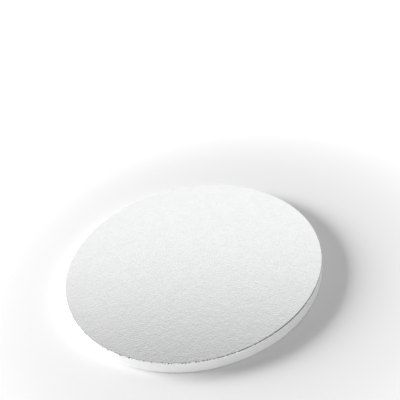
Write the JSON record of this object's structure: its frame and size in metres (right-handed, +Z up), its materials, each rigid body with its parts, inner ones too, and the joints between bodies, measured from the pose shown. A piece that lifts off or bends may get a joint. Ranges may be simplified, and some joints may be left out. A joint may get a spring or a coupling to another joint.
{
  "type": "round cake board",
  "caption": "Thick round cake board: a stiff board disc with a smooth silver foil edge, an embossed silver foil top and a plain paper base.",
  "frame": {"origin": "centre of the underside, on the surface that the board stands on", "axes": "+Z up, out of the embossed face, along the board's axis; +X and +Y are any two radii at a right angle"},
  "size_m": [0.254, 0.254, 0.0127],
  "materials": {
    "board": "matte",
    "smooth_foil": "satin",
    "embossed_foil": "gloss",
    "plain_paper": "matte"
  },
  "bodies": {
    "root": {"board_core": "board", "edge_band": "smooth_foil", "top_sheet": "embossed_foil", "base_sheet": "plain_paper"}
  },
  "joints": []
}
